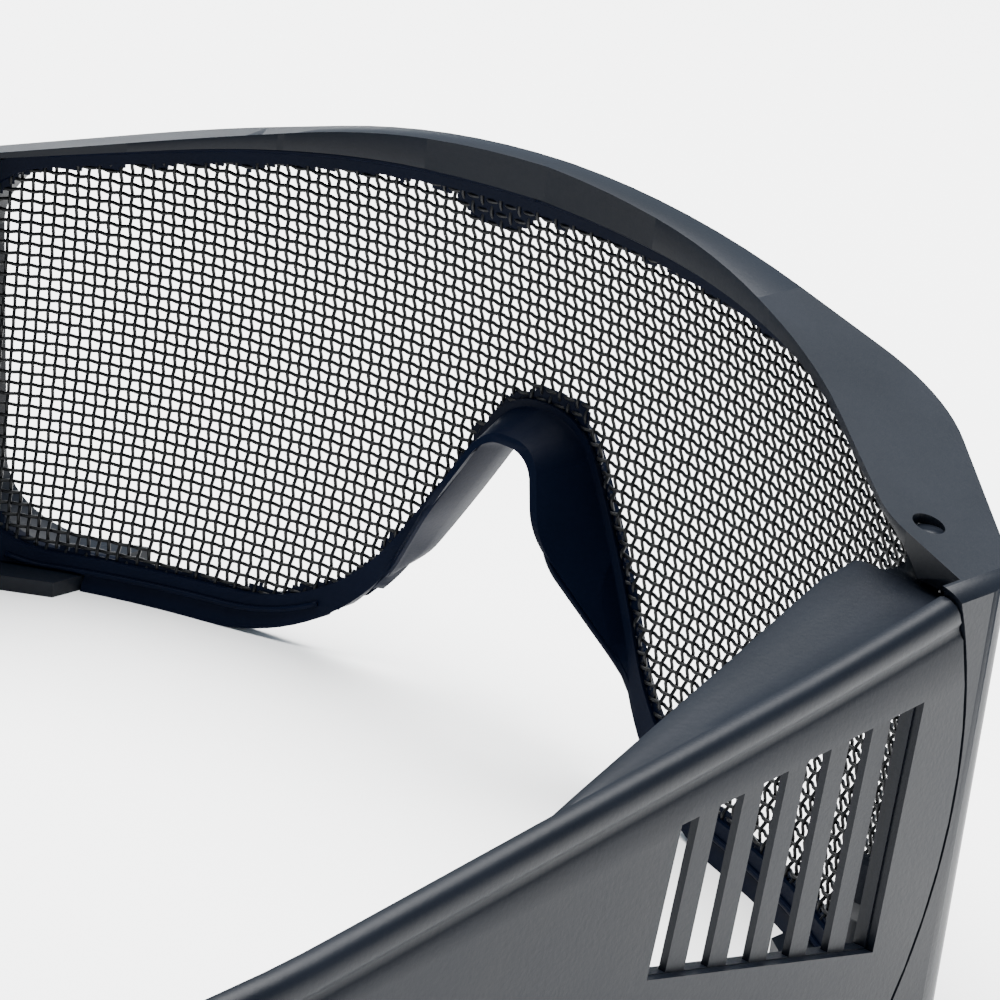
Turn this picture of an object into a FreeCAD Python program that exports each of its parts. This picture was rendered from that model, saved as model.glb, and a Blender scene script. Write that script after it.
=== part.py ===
"""Mesh safety goggles: a woven wire screen in a moulded rim, a brow frame and two vented temples.

Millimetres. X points to the wearer's left, Y to the rear and Z up. The goggles stand on the
rim's two lobes and the temple tips, and Z is zero there. Sizes are given for the left half.
"""
import FreeCAD, Part
import Sketcher
import math
import os

V = FreeCAD.Vector

SIZES = {
    # Screen: three tangent arcs in plan, from the middle outwards, and one arc up and down
    "screen_radius_middle": 137.0,
    "screen_angle_middle": 19.5,
    "screen_radius_shoulder": 95.0,
    "screen_angle_shoulder": 11.0,
    "screen_radius_end": 47.0,
    "screen_angle_end": 28.0,
    "screen_radius_upright": 131.0,
    "screen_apex_height": 33.8,
    "screen_thickness": 0.56,
    "screen_edge_cover": 1.2,
    # Visible edge of the screen, as the corners of a rounded outline
    "sight_top": 63.2,
    "sight_brow_x": 25.8,
    "sight_brow_radius": 200.0,
    "sight_temple_x": 73.8,
    "sight_temple_z": 51.7,
    "sight_temple_radius": 9.0,
    "sight_cheek_x": 71.0,
    "sight_cheek_z": 3.9,
    "sight_cheek_radius": 10.0,
    "sight_lobe_x": 26.3,
    "sight_lobe_z": 5.0,
    "sight_lobe_radius": 24.0,
    "notch_x": 5.7,
    "notch_z": 40.1,
    "notch_radius": 8.7,
    # Rim moulded round the screen's edge
    "rim_band_top": 2.0,
    "rim_band_side": 2.2,
    "rim_band_nose": 2.2,
    "rim_front": 1.3,
    "rim_rear": 0.8,
    # Nose saddle that grows rearwards out of the rim
    "saddle_wall": 1.9,
    "saddle_lean": 4.6,
    "saddle_reach": 10.0,
    "saddle_overlap": 0.5,
    "saddle_top_y": 6.7,
    "saddle_top_z": 37.5,
    "saddle_deep_y": 9.9,
    "saddle_deep_z": 27.5,
    "saddle_low_y": 4.0,
    "saddle_low_z": 14.5,
    # Brow frame
    "frame_top": 69.4,
    "frame_brow_x": 18.2,
    "frame_brow_radius": 130.0,
    "frame_half_width": 81.0,
    "frame_shoulder_z": 52.3,
    "frame_shoulder_radius": 3.0,
    "frame_foot_radius": 10.0,
    "frame_front_y": 2.0,
    "frame_corner_x": 55.5,
    "frame_corner_y": 3.8,
    "frame_corner_radius": 25.0,
    "frame_cheek_y": 26.1,
    "frame_cheek_radius": 8.0,
    "frame_rear_y": 6.0,
    "frame_rear_inner_x": 27.0,
    "frame_rear_inner_y": 8.2,
    "frame_rear_inner_radius": 80.0,
    "frame_rear_outer_x": 46.0,
    "frame_rear_outer_y": 14.6,
    "frame_rear_outer_radius": 60.0,
    "frame_rear_hinge_x": 68.5,
    "frame_rear_hinge_y": 31.2,
    "frame_rear_hinge_radius": 12.0,
    "frame_rear_end_y": 33.0,
    "frame_wall": 2.0,
    "frame_lip": 1.0,
    "frame_fit": 0.15,
    "shelf_start_x": 57.5,
    "shelf_thickness": 2.0,
    "cavity_y": 25.4,
    "cavity_x": 68.6,
    "cavity_roof": 51.0,
    # Seam between the side wall and the temple, an arc seen from the side
    "seam_radius": 47.6,
    "seam_y": 30.2,
    "seam_z": 30.5,
    "seam_gap": 0.4,
    # Hinge
    "hinge_x": 71.3,
    "hinge_y": 27.9,
    "stub_radius": 1.6,
    "stub_clearance": 0.08,
    "barrel_radius": 2.0,
    "barrel_clearance": 0.5,
    "lug_clearance": 1.0,
    "lug_thickness": 1.9,
    "lug_drop": 2.0,
    "lower_lug_z": 16.2,
    "stub_top": 54.4,
    # Temple
    "temple_wall": 2.4,
    "temple_top_front": 51.6,
    "temple_top_y": 34.0,
    "temple_bend_y": 137.0,
    "temple_bend_z": 39.6,
    "temple_bend_radius": 22.0,
    "temple_length": 164.0,
    "temple_tip_top_z": 11.0,
    "temple_tip_radius": 6.0,
    "temple_heel_y": 151.0,
    "temple_hook_y": 127.0,
    "temple_hook_z": 28.0,
    "temple_hook_radius": 16.0,
    "temple_foot_y": 35.5,
    "temple_foot_z": 7.7,
    "temple_inset_start": 112.0,
    "temple_inset": 8.0,
    # Gusset that stiffens the hinge end
    "gusset_inner_x": 65.5,
    "gusset_inner_y": 36.0,
    "gusset_end_y": 97.0,
    # Vent window with its bars
    "vent_front_top_y": 39.0,
    "vent_front_top_z": 42.2,
    "vent_front_foot_y": 40.6,
    "vent_front_foot_z": 16.3,
    "vent_rear_top_y": 74.6,
    "vent_rear_top_z": 39.5,
    "vent_rear_foot_y": 76.5,
    "vent_rear_foot_z": 24.8,
    "vent_recess": 1.2,
    "vent_slot_share": 0.52,
}
VENT_SLOTS = 6
REACH = 200.0


class Dim:
    """A size that carries its value and the formula that the document stores."""

    def __init__(self, value, text):
        self.value = float(value)
        self.text = text

    def joined(self, sign, other, result, swapped=False):
        mine, theirs = self.text, other.text if isinstance(other, Dim) else repr(float(other))
        first, second = (theirs, mine) if swapped else (mine, theirs)
        return Dim(result, "(%s %s %s)" % (first, sign, second))

    def __add__(self, other):
        return self.joined("+", other, self.value + number(other))

    __radd__ = __add__

    def __sub__(self, other):
        return self.joined("-", other, self.value - number(other))

    def __rsub__(self, other):
        return self.joined("-", other, number(other) - self.value, swapped=True)

    def __mul__(self, other):
        return self.joined("*", other, self.value * number(other))

    __rmul__ = __mul__

    def __truediv__(self, other):
        return self.joined("/", other, self.value / number(other))

    def __neg__(self):
        return Dim(-self.value, "(-%s)" % self.text)


def number(size):
    """The plain value of a size or a number."""
    return size.value if isinstance(size, Dim) else float(size)


def sine(angle):
    return Dim(math.sin(math.radians(angle.value)), "sin(%s * 1deg)" % angle.text)


class Sheet:
    """The spreadsheet of sizes; sheet.name gives the size of that name."""

    def __init__(self, doc):
        cells = doc.addObject("Spreadsheet::Sheet", "Sizes")
        for row, (name, value) in enumerate(SIZES.items(), start=1):
            cells.set("A%d" % row, name)
            cells.set("B%d" % row, repr(value))
            cells.setAlias("B%d" % row, name)
            setattr(self, name, Dim(value, "Sizes.%s" % name))
        doc.recompute()


def bind(obj, prop, size):
    """Set a property to a size and keep its formula."""
    if isinstance(size, Dim):
        obj.setExpression(prop, size.text)
    else:
        setattr(obj, prop, size)


def hold(sketch, constraint, size):
    """Add a dimension to a sketch and keep its formula."""
    index = sketch.addConstraint(constraint)
    if isinstance(size, Dim):
        sketch.setExpression("Constraints[%d]" % index, size.text)
    return index


def pin_point(sketch, geometry, vertex, x, y):
    """Fix a point of a sketch at x, y from the origin."""
    hold(sketch, Sketcher.Constraint("DistanceX", -1, 1, geometry, vertex, number(x)), x)
    hold(sketch, Sketcher.Constraint("DistanceY", -1, 1, geometry, vertex, number(y)), y)


def corner_arc(before, corner, after, radius):
    """The arc of a radius that rounds a corner: centre, start and end."""
    to_before = (before - corner).normalize()
    to_after = (after - corner).normalize()
    half = to_before.getAngle(to_after) / 2
    trim = radius / math.tan(half)
    centre = corner + (to_before + to_after).normalize() * (radius / math.sin(half))
    return centre, corner + to_before * trim, corner + to_after * trim


def rounded_outline(sketch, corners):
    """Draw a closed outline from corners (x, y, radius); a radius of 0 leaves a corner sharp."""
    points = [V(number(x), number(y), 0) for x, y, radius in corners]
    count = len(points)
    starts, ends, arcs = [None] * count, [None] * count, [None] * count
    for i, (x, y, radius) in enumerate(corners):
        if number(radius) > 0:
            arcs[i] = corner_arc(points[i - 1], points[i], points[(i + 1) % count], number(radius))
            ends[i], starts[i] = arcs[i][1], arcs[i][2]
        else:
            ends[i], starts[i] = points[i], points[i]
    lines = [sketch.addGeometry(Part.LineSegment(starts[i], ends[(i + 1) % count])) for i in range(count)]
    for i, (x, y, radius) in enumerate(corners):
        incoming, outgoing = lines[i - 1], lines[i]
        if arcs[i] is None:
            sketch.addConstraint(Sketcher.Constraint("Coincident", incoming, 2, outgoing, 1))
            pin_point(sketch, outgoing, 1, x, y)
            continue
        centre, start, end = arcs[i]
        turn = (start - centre).cross(end - centre).z
        first, last = (start, end) if turn > 0 else (end, start)
        angles = [math.atan2(p.y - centre.y, p.x - centre.x) for p in (first, last)]
        if angles[1] < angles[0]:
            angles[1] += 2 * math.pi
        circle = Part.Circle(centre, V(0, 0, 1), number(radius))
        arc = sketch.addGeometry(Part.ArcOfCircle(circle, *angles))
        near, far = (1, 2) if turn > 0 else (2, 1)
        mark = sketch.addGeometry(Part.Point(points[i]), True)
        sketch.addConstraint(Sketcher.Constraint("Tangent", incoming, 2, arc, near))
        sketch.addConstraint(Sketcher.Constraint("Tangent", outgoing, 1, arc, far))
        sketch.addConstraint(Sketcher.Constraint("PointOnObject", mark, 1, incoming))
        sketch.addConstraint(Sketcher.Constraint("PointOnObject", mark, 1, outgoing))
        hold(sketch, Sketcher.Constraint("Radius", arc, number(radius)), radius)
        pin_point(sketch, mark, 1, x, y)


def circle(sketch, x, y, radius):
    """Draw a circle held at x, y."""
    ring = sketch.addGeometry(Part.Circle(V(number(x), number(y), 0), V(0, 0, 1), number(radius)))
    hold(sketch, Sketcher.Constraint("Radius", ring, number(radius)), radius)
    pin_point(sketch, ring, 3, x, y)


def mirrored(half):
    """Close a half outline, given from the top to the notch at X above zero, across X = 0."""
    return half + [(-x, y, radius) for x, y, radius in reversed(half)]


class Piece:
    """A body under construction, with its own sketches and features."""

    def __init__(self, doc, label):
        self.doc = doc
        self.body = doc.addObject("PartDesign::Body", label)
        self.body.Label = label
        self.planes = {feature.Role: feature for feature in self.body.Origin.OriginFeatures}

    def sketch(self, name, plane):
        sketch = self.body.newObject("Sketcher::SketchObject", name)
        sketch.AttachmentSupport = [(self.planes[plane], "")]
        sketch.MapMode = "FlatFace"
        return sketch

    def feature(self, kind, name, sketch, length, symmetric, backwards, start):
        if start is not None:
            bind(sketch, "AttachmentOffset.Base.z", start)
        self.doc.recompute()
        feature = self.body.newObject("PartDesign::" + kind, name)
        feature.Profile = sketch
        feature.SideType = "Symmetric" if symmetric else "One side"
        feature.Reversed = backwards
        bind(feature, "Length", length)
        self.doc.recompute()
        return feature

    def pad(self, name, sketch, length, symmetric=False, backwards=False, start=None):
        """Add material along the sketch's normal, from the sketch plane moved by start."""
        return self.feature("Pad", name, sketch, length, symmetric, backwards, start)

    def pocket(self, name, sketch, length, symmetric=False, backwards=False, start=None):
        """Take material away against the sketch's normal, and make sure that some went."""
        before = self.body.Shape.Volume
        feature = self.feature("Pocket", name, sketch, length, symmetric, backwards, start)
        if self.body.Shape.Volume > before - 0.01:
            raise RuntimeError("%s cuts nothing" % name)
        return feature

    def trim(self, name, plane, corners, length=REACH):
        """Cut away all that lies outside an outline, through the whole piece."""
        sketch = self.sketch(name + "_sketch", plane)
        far = 2 * REACH
        rounded_outline(sketch, [(-far, -far, 0), (far, -far, 0), (far, far, 0), (-far, far, 0)])
        rounded_outline(sketch, corners)
        return self.pocket(name, sketch, 2 * length, symmetric=True)


def screen_spine(sketch, s):
    """The screen's plan: three tangent arcs from the middle to the wearer's left."""
    turns = [(s.screen_radius_middle, s.screen_angle_middle),
             (s.screen_radius_shoulder, s.screen_angle_shoulder),
             (s.screen_radius_end, s.screen_angle_end)]
    centre = V(0, number(turns[0][0]), 0)
    angle, end_x, before = 0.0, Dim(0, "0"), None
    turned = Dim(0, "0")
    for radius, sweep in turns:
        ring = Part.Circle(centre, V(0, 0, 1), number(radius))
        start, stop = math.radians(angle - 90), math.radians(angle + number(sweep) - 90)
        arc = sketch.addGeometry(Part.ArcOfCircle(ring, start, stop))
        if before is None:
            sketch.addConstraint(Sketcher.Constraint("Coincident", arc, 1, -1, 1))
            sketch.addConstraint(Sketcher.Constraint("PointOnObject", arc, 3, -2))
        else:
            sketch.addConstraint(Sketcher.Constraint("Tangent", before, 2, arc, 1))
        hold(sketch, Sketcher.Constraint("Radius", arc, number(radius)), radius)
        end_x = end_x + radius * (sine(turned + sweep) - sine(turned))
        hold(sketch, Sketcher.Constraint("DistanceX", -1, 1, arc, 2, number(end_x)), end_x)
        turned = turned + sweep
        angle += number(sweep)
        heading = V(-math.sin(math.radians(angle)), math.cos(math.radians(angle)), 0)
        following = turns[len(turns) - 1][0] if before is not None else turns[1][0]
        centre = centre + heading * (number(following) - number(radius))
        before = arc


def screen_section(sketch, s, front, rear):
    """An upright slice of the screen, from front ahead of its middle to rear behind it."""
    low, high = s.screen_apex_height - 42, s.screen_apex_height + 44
    centre = V(number(s.screen_radius_upright), number(s.screen_apex_height), 0)
    arcs = []
    for radius in (s.screen_radius_upright + front, s.screen_radius_upright - rear):
        ends = [math.pi - math.asin((number(z) - centre.y) / number(radius)) for z in (high, low)]
        ring = Part.Circle(centre, V(0, 0, 1), number(radius))
        arc = sketch.addGeometry(Part.ArcOfCircle(ring, *ends))
        hold(sketch, Sketcher.Constraint("Radius", arc, number(radius)), radius)
        pin_point(sketch, arc, 3, s.screen_radius_upright, s.screen_apex_height)
        hold(sketch, Sketcher.Constraint("DistanceY", -1, 1, arc, 1, number(high)), high)
        hold(sketch, Sketcher.Constraint("DistanceY", -1, 1, arc, 2, number(low)), low)
        arcs.append(arc)
    for vertex in (1, 2):
        ends = [sketch.getPoint(arc, vertex) for arc in arcs]
        line = sketch.addGeometry(Part.LineSegment(*ends))
        sketch.addConstraint(Sketcher.Constraint("Coincident", line, 1, arcs[0], vertex))
        sketch.addConstraint(Sketcher.Constraint("Coincident", line, 2, arcs[1], vertex))


def screen_band(doc, s, label, front, rear):
    """A layer that follows the screen's double curve across the whole face."""
    piece = Piece(doc, label)
    spine = piece.sketch(label + "_spine", "XY_Plane")
    screen_spine(spine, s)
    section = piece.sketch(label + "_section", "YZ_Plane")
    screen_section(section, s, front, rear)
    doc.recompute()
    pipe = piece.body.newObject("PartDesign::AdditivePipe", label + "_half")
    pipe.Profile = section
    pipe.Spine = (spine, ["Edge1", "Edge2", "Edge3"])
    pipe.Mode = "Frenet"
    doc.recompute()
    other = piece.body.newObject("PartDesign::Mirrored", label + "_other_half")
    other.Originals = [pipe]
    other.MirrorPlane = (piece.planes["YZ_Plane"], [""])
    piece.body.Tip = other
    doc.recompute()
    return piece


def sight_outline(s, grow):
    """The screen's visible edge, seen from the front, grown outwards all round."""
    return mirrored([
        (s.sight_brow_x, s.sight_top + grow, s.sight_brow_radius + grow),
        (s.sight_temple_x + grow, s.sight_temple_z + grow * 0.75, s.sight_temple_radius + grow),
        (s.sight_cheek_x + grow, s.sight_cheek_z - grow, s.sight_cheek_radius + grow),
        (s.sight_lobe_x - grow * 0.57, s.sight_lobe_z - grow, s.sight_lobe_radius + grow),
        (s.notch_x - grow * 0.57, s.notch_z - grow, s.notch_radius - grow),
    ])


def rim_outline(s, grow):
    """The rim's outer edge, seen from the front, grown outwards by a fit."""
    return mirrored([
        (s.sight_brow_x, s.sight_top + s.rim_band_top + grow, s.sight_brow_radius + s.rim_band_top),
        (s.sight_temple_x + s.rim_band_side + grow, s.sight_temple_z + s.rim_band_top * 0.75 + grow,
         s.sight_temple_radius + s.rim_band_side + grow),
        (s.sight_cheek_x + s.rim_band_side + grow, 0 - grow, s.sight_cheek_radius + s.rim_band_side + grow),
        (s.sight_lobe_x + 0.4, 0 - grow, s.sight_lobe_radius + s.rim_band_side),
        (s.notch_x - s.rim_band_nose * 0.57, s.notch_z - s.rim_band_nose,
         s.notch_radius - s.rim_band_nose),
    ])


def cut_barrel_room(piece, s, name, clearance, start, length):
    """Clear the room that the temples' hinge barrels turn in, upwards from start."""
    room = piece.sketch(name + "_sketch", "XY_Plane")
    for side in (-1, 1):
        circle(room, s.hinge_x * side, s.hinge_y, s.barrel_radius + clearance)
    piece.pocket(name, room, length, backwards=True, start=start)


def make_screen(doc, s, label):
    """The woven wire screen, as one closed sheet of its thickness that runs into the rim."""
    half = s.screen_thickness / 2
    screen = screen_band(doc, s, label, half, half)
    screen.trim("screen_edge", "XZ_Plane", sight_outline(s, s.screen_edge_cover))
    cut_barrel_room(screen, s, "screen_barrel_room", s.lug_clearance, None, s.lower_lug_z + s.lug_thickness + 0.4)
    return screen.body


def notch_strip(s, near, far):
    """A strip along the notch, between two distances from the screen's edge towards the nose."""
    sides = []
    for off in (near, far):
        notch = (s.notch_x - off * 0.57, s.notch_z - off, s.notch_radius - off)
        lobe = (s.sight_lobe_x - off * 0.57, s.sight_lobe_z - off, s.sight_lobe_radius + off)
        sides.append([notch, lobe, (s.sight_lobe_x + s.sight_lobe_radius, s.sight_lobe_z - off, 0)])
    return mirrored(sides[0] + sides[1][::-1])


def make_saddle(doc, s):
    """The nose saddle: a wall along the notch that leans towards the nose as it goes rearwards."""
    wall = Piece(doc, "saddle_wall")
    strips = []
    for name, near, start in (("saddle_root", -s.saddle_overlap, s.saddle_reach * -0.3),
                              ("saddle_end", s.saddle_lean - s.saddle_overlap, s.saddle_reach)):
        strip = wall.sketch(name, "XZ_Plane")
        bind(strip, "AttachmentOffset.Base.z", -start)
        rounded_outline(strip, notch_strip(s, near, near + s.saddle_wall))
        strips.append(strip)
    doc.recompute()
    loft = wall.body.newObject("PartDesign::AdditiveLoft", "saddle_loft")
    loft.Profile = strips[0]
    loft.Sections = [strips[1]]
    loft.Ruled = True
    doc.recompute()
    wall.trim("saddle_rear_edge", "YZ_Plane", [
        (-REACH, -REACH, 0), (-REACH, REACH, 0), (s.saddle_top_y, REACH, 0),
        (s.saddle_top_y, s.saddle_top_z, 6), (s.saddle_deep_y, s.saddle_deep_z, 7),
        (s.saddle_low_y, s.saddle_low_z, 8), (s.saddle_low_y - 1, -REACH, 0)])
    depth = screen_band(doc, s, "saddle_depth", s.rim_front, s.saddle_reach * 1.4)
    common = wall.body.newObject("PartDesign::Boolean", "saddle_on_rim")
    common.Type = "Common"
    common.addObjects([depth.body])
    doc.recompute()
    return wall.body


def make_rim(doc, s):
    """The rim moulded round the screen, with the nose saddle behind its notch."""
    band = screen_band(doc, s, "rim_body", s.rim_front, s.rim_rear)
    band.trim("rim_outer_edge", "XZ_Plane", rim_outline(s, 0))
    opening = band.sketch("rim_opening_sketch", "XZ_Plane")
    rounded_outline(opening, sight_outline(s, 0))
    band.pocket("rim_opening", opening, 2 * REACH, symmetric=True)
    seat = band.sketch("shelf_seat_sketch", "XZ_Plane")
    start, top = s.shelf_start_x - s.frame_fit * 2, s.shelf_thickness + s.frame_fit
    for side in (-1, 1):
        rounded_outline(seat, [(start * side, -10, 0), (REACH * side, -10, 0),
                               (REACH * side, top, 0), (start * side, top, 0)])
    band.pocket("shelf_seat", seat, 2 * REACH, symmetric=True)
    cut_barrel_room(band, s, "lower_barrel_room", s.lug_clearance, None, s.lower_lug_z + s.lug_thickness + 0.4)
    cut_barrel_room(band, s, "upper_barrel_room", s.barrel_clearance, s.cavity_roof - 6, 20)
    saddle = band.body.newObject("PartDesign::Boolean", "rim_and_saddle")
    saddle.Type = "Fuse"
    saddle.addObjects([make_saddle(doc, s)])
    doc.recompute()
    return cut_node(doc, "screen_rim", band.body, make_screen(doc, s, "screen_groove"))


def cut_node(doc, label, base, tool):
    """A node made of one solid with another taken out of it."""
    node = doc.addObject("Part::Cut", label)
    node.Label = label
    node.Base = base
    node.Tool = tool
    doc.recompute()
    return node


def frame_plan(s):
    """The brow frame seen from above, with its side walls running on past the seam."""
    inside = s.frame_half_width - s.frame_wall
    return mirrored([
        (Dim(0, "0") + 0.01, s.frame_front_y, 0),
        (s.frame_corner_x, s.frame_corner_y, s.frame_corner_radius),
        (s.frame_half_width, s.frame_cheek_y, s.frame_cheek_radius),
        (s.frame_half_width, s.seam_y + 12, 0),
        (inside, s.seam_y + 12, 0),
        (inside, s.frame_rear_end_y, 0),
        (s.frame_rear_hinge_x, s.frame_rear_hinge_y, s.frame_rear_hinge_radius),
        (s.frame_rear_outer_x, s.frame_rear_outer_y, s.frame_rear_outer_radius),
        (s.frame_rear_inner_x, s.frame_rear_inner_y, s.frame_rear_inner_radius),
        (Dim(0, "0") + 0.01, s.frame_rear_y, 0),
    ])


def make_frame(doc, s):
    """The brow frame: roof, side walls, hinge shelves and the opening that the rim sits in."""
    frame = Piece(doc, "frame_body")
    plan = frame.sketch("frame_plan", "XY_Plane")
    rounded_outline(plan, frame_plan(s))
    frame.pad("frame_block", plan, s.frame_top)
    frame.trim("frame_outer_edge", "XZ_Plane", mirrored([
        (s.frame_brow_x, s.frame_top, s.frame_brow_radius),
        (s.frame_half_width + 0.5, s.frame_shoulder_z, s.frame_shoulder_radius),
        (s.frame_half_width + 0.5, Dim(0, "0"), s.frame_foot_radius),
    ]))
    opening = frame.sketch("frame_opening_sketch", "XZ_Plane")
    rounded_outline(opening, sight_outline(s, s.frame_lip))
    frame.pocket("frame_opening", opening, 2 * REACH, symmetric=True)
    gap = frame.sketch("frame_gap_sketch", "XZ_Plane")
    rounded_outline(gap, [(-s.shelf_start_x, -10, 0), (s.shelf_start_x, -10, 0),
                          (s.shelf_start_x, s.sight_temple_z, 0),
                          (-s.shelf_start_x, s.sight_temple_z, 0)])
    frame.pocket("frame_gap", gap, 2 * REACH, symmetric=True)
    cavity = frame.sketch("hinge_cavity_sketch", "XY_Plane")
    inside = s.frame_half_width - s.frame_wall
    for side in (-1, 1):
        rounded_outline(cavity, [(s.cavity_x * side, s.cavity_y, 0), (inside * side, s.cavity_y, 4),
                                 (inside * side, s.seam_y + 20, 0),
                                 (s.cavity_x * side, s.seam_y + 20, 0)])
    frame.pocket("hinge_cavity", cavity, s.cavity_roof - s.shelf_thickness, backwards=True,
                 start=s.shelf_thickness)
    for name, plane_x, back in (("seam_left", s.frame_half_width, False),
                                ("seam_right", -s.frame_half_width, True)):
        seam = frame.sketch(name + "_sketch", "YZ_Plane")
        circle(seam, s.seam_y + s.seam_radius, s.seam_z, s.seam_radius)
        frame.pocket(name, seam, s.frame_wall + 1, backwards=back, start=plane_x)
    holes = frame.sketch("hinge_holes_sketch", "XY_Plane")
    for side in (-1, 1):
        circle(holes, s.hinge_x * side, s.hinge_y, s.stub_radius + s.stub_clearance)
    frame.pocket("hinge_holes", holes, 2 * REACH, symmetric=True)
    seat = screen_band(doc, s, "rim_seat", s.rim_front + s.frame_fit, 40)
    seat.trim("rim_seat_edge", "XZ_Plane", rim_outline(s, s.frame_fit))
    seat.trim("rim_seat_foot", "YZ_Plane", [
        (-REACH, s.shelf_thickness, 0), (REACH, s.shelf_thickness, 0),
        (REACH, REACH, 0), (-REACH, REACH, 0)])
    return cut_node(doc, "front_frame", frame.body, seat.body)


def temple_side_line(s):
    """The temple seen from the side, with its front end running on past the seam."""
    rise = (s.temple_top_front - s.temple_bend_z) / (s.temple_bend_y - s.temple_top_y)
    fall = (s.temple_hook_z - s.temple_foot_z) / (s.temple_hook_y - s.temple_foot_y)
    front = s.seam_y - 2
    return [
        (front, s.temple_top_front + rise * (s.temple_top_y - front), 0),
        (s.temple_bend_y, s.temple_bend_z, s.temple_bend_radius),
        (s.temple_length, s.temple_tip_top_z, s.temple_tip_radius),
        (s.temple_length, Dim(0, "0"), s.temple_tip_radius / 2),
        (s.temple_heel_y, Dim(0, "0"), s.temple_tip_radius / 2),
        (s.temple_hook_y, s.temple_hook_z, s.temple_hook_radius),
        (front, s.temple_foot_z + fall * (front - s.temple_foot_y), 0),
    ]


def vent_point(s, along, down):
    """A point of the vent window: along runs from its front end to its rear, down from its top."""
    top_y = s.vent_front_top_y + along * (s.vent_rear_top_y - s.vent_front_top_y)
    top_z = s.vent_front_top_z + along * (s.vent_rear_top_z - s.vent_front_top_z)
    foot_y = s.vent_front_foot_y + along * (s.vent_rear_foot_y - s.vent_front_foot_y)
    foot_z = s.vent_front_foot_z + along * (s.vent_rear_foot_z - s.vent_front_foot_z)
    return top_y + down * (foot_y - top_y), top_z + down * (foot_z - top_z)


def vent_quad(sketch, s, first, last):
    """Draw the part of the vent window between two fractions of its length."""
    corners = [vent_point(s, first, 0.0), vent_point(s, last, 0.0),
               vent_point(s, last, 1.0), vent_point(s, first, 1.0)]
    rounded_outline(sketch, [(y, z, 0) for y, z in corners])


def make_temple(doc, s):
    """The left temple: wall, vent window, gusset, and the two hinge lugs with their stubs."""
    temple = Piece(doc, "temple_left")
    outer, inner = s.frame_half_width, s.frame_half_width - s.temple_wall
    side = temple.sketch("temple_side", "YZ_Plane")
    rounded_outline(side, temple_side_line(s))
    temple.pad("temple_blank", side, s.temple_inset + s.temple_wall + 6, start=outer - s.temple_inset
               - s.temple_wall - 5)
    end = s.temple_length + 6
    temple.trim("temple_plan", "XY_Plane", [
        (outer, 0, 0), (outer, s.temple_inset_start, 250), (outer - s.temple_inset, end, 0),
        (inner - s.temple_inset, end, 0), (inner, s.temple_inset_start, 250), (inner, 0, 0)])
    seam = s.seam_radius - s.seam_gap
    wedge = s.seam_y + s.seam_radius - seam * 2
    temple.trim("temple_front_edge", "YZ_Plane", [
        (wedge, s.seam_z, seam), (wedge + 300, s.seam_z + 173.2, 0), (wedge + 300, s.seam_z - 173.2, 0)])
    window = temple.sketch("vent_window_sketch", "YZ_Plane")
    vent_quad(window, s, 0.0, 1.0)
    temple.pocket("vent_window", window, s.vent_recess, start=outer)
    slots = temple.sketch("vent_slots_sketch", "YZ_Plane")
    pitch = 1.0 / (VENT_SLOTS + 0.48)
    for slot in range(VENT_SLOTS):
        vent_quad(slots, s, pitch * slot, pitch * (slot + 0.52))
    temple.pocket("vent_slots", slots, 2 * REACH, symmetric=True)
    x, y, round_end = s.hinge_x, s.hinge_y, s.barrel_radius
    gusset = temple.sketch("gusset_sketch", "XY_Plane")
    slope = Dim(math.degrees(math.atan2(12.0, 103.0)),
                "(atan2(Sizes.temple_top_front - Sizes.temple_bend_z; "
                "Sizes.temple_bend_y - Sizes.temple_top_y) / 1deg)")
    gusset.AttachmentOffset = FreeCAD.Placement(V(0, 0, 0), FreeCAD.Rotation(V(1, 0, 0), -number(slope)))
    gusset.setExpression("AttachmentOffset.Base.y", y.text)
    gusset.setExpression("AttachmentOffset.Rotation.Angle", "-" + slope.text)
    rise = (s.temple_top_front - s.temple_bend_z) / (s.temple_bend_y - s.temple_top_y)
    level = s.temple_top_front + rise * (s.temple_top_y - y) - s.lug_drop
    rounded_outline(gusset, [
        (x - round_end, -round_end, round_end * 0.96), (x + round_end, -round_end, round_end * 0.96),
        (x + round_end, round_end * 1.5, 0),
        (inner - 0.4, s.gusset_inner_y - y - 2, 0), (inner - 0.4, s.gusset_inner_y - y + 0.4, 0),
        (outer - 1, s.gusset_inner_y - y + 0.4, 0), (outer - 1, s.gusset_end_y - y, 0),
        (inner + 0.4, s.gusset_end_y - y, 0), (s.gusset_inner_x, s.gusset_inner_y - y, 3),
        (x - round_end, round_end, 0)])
    temple.pad("gusset", gusset, s.lug_thickness, backwards=True, start=level)
    lug = temple.sketch("lower_lug_sketch", "XY_Plane")
    rounded_outline(lug, [
        (x - round_end, y - round_end, round_end * 0.96), (x + round_end, y - round_end, round_end * 0.96),
        (x + round_end, y + round_end * 1.5, 0),
        (inner - 0.4, s.gusset_inner_y - 2, 0), (inner - 0.4, s.gusset_inner_y + 0.4, 0),
        (outer - 1, s.gusset_inner_y + 0.4, 0), (outer - 1, s.gusset_inner_y + 5, 0),
        (inner, s.gusset_inner_y + 5, 0), (x - round_end, y + round_end, 0)])
    temple.pad("lower_lug", lug, s.lug_thickness, start=s.lower_lug_z)
    for name, radius, low, high in (
            ("lower_barrel", s.barrel_radius, s.shelf_thickness + 0.5, s.lower_lug_z + 1),
            ("lower_stub", s.stub_radius, s.shelf_thickness * 0 + 0.2, s.lower_lug_z + 1),
            ("upper_stub", s.stub_radius, s.cavity_roof - 2, s.stub_top)):
        post = temple.sketch(name + "_sketch", "XY_Plane")
        circle(post, x, y, radius)
        temple.pad(name, post, high - low, start=low)
    return temple.body


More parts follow.
